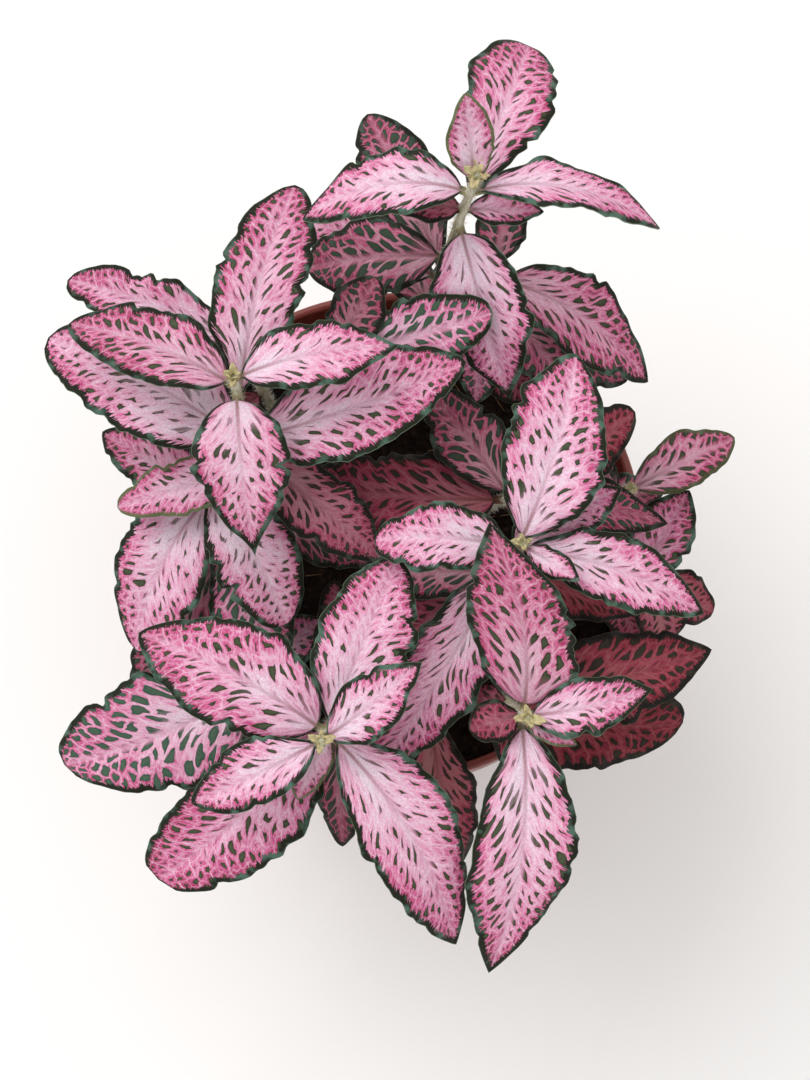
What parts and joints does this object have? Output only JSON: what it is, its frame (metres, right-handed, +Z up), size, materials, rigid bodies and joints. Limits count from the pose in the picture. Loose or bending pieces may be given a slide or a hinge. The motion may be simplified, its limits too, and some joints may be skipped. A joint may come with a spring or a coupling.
{
  "type": "potted nerve plant",
  "caption": "Pink-leaved nerve plant in a round nursery pot: leafy stems with netted, dark-edged blades rise from the peat and lean out over the rim.",
  "frame": {"origin": "centre of the pot's flat underside", "axes": "+Z up along the pot's axis, +Y towards the tallest stem at the back, -Y towards the viewer"},
  "size_m": [0.1522, 0.1941, 0.1985],
  "materials": {
    "pot": "moulded terracotta-coloured polypropylene, satin",
    "soil": "dark crumbly peat",
    "foliage": "living leaf, satin, pink net over dark green"
  },
  "bodies": {
    "root": {"pot": "pot", "soil": "soil", "stem_back": "foliage", "stem_back_low": "foliage", "stem_left": "foliage", "stem_left_low": "foliage", "stem_back_left": "foliage", "stem_back_left_low": "foliage", "stem_right": "foliage", "stem_middle": "foliage", "stem_front_left": "foliage", "stem_front_right": "foliage", "stem_far_right": "foliage", "stem_right_low": "foliage", "stem_front_left_low": "foliage", "stem_front_low": "foliage"}
  },
  "joints": []
}
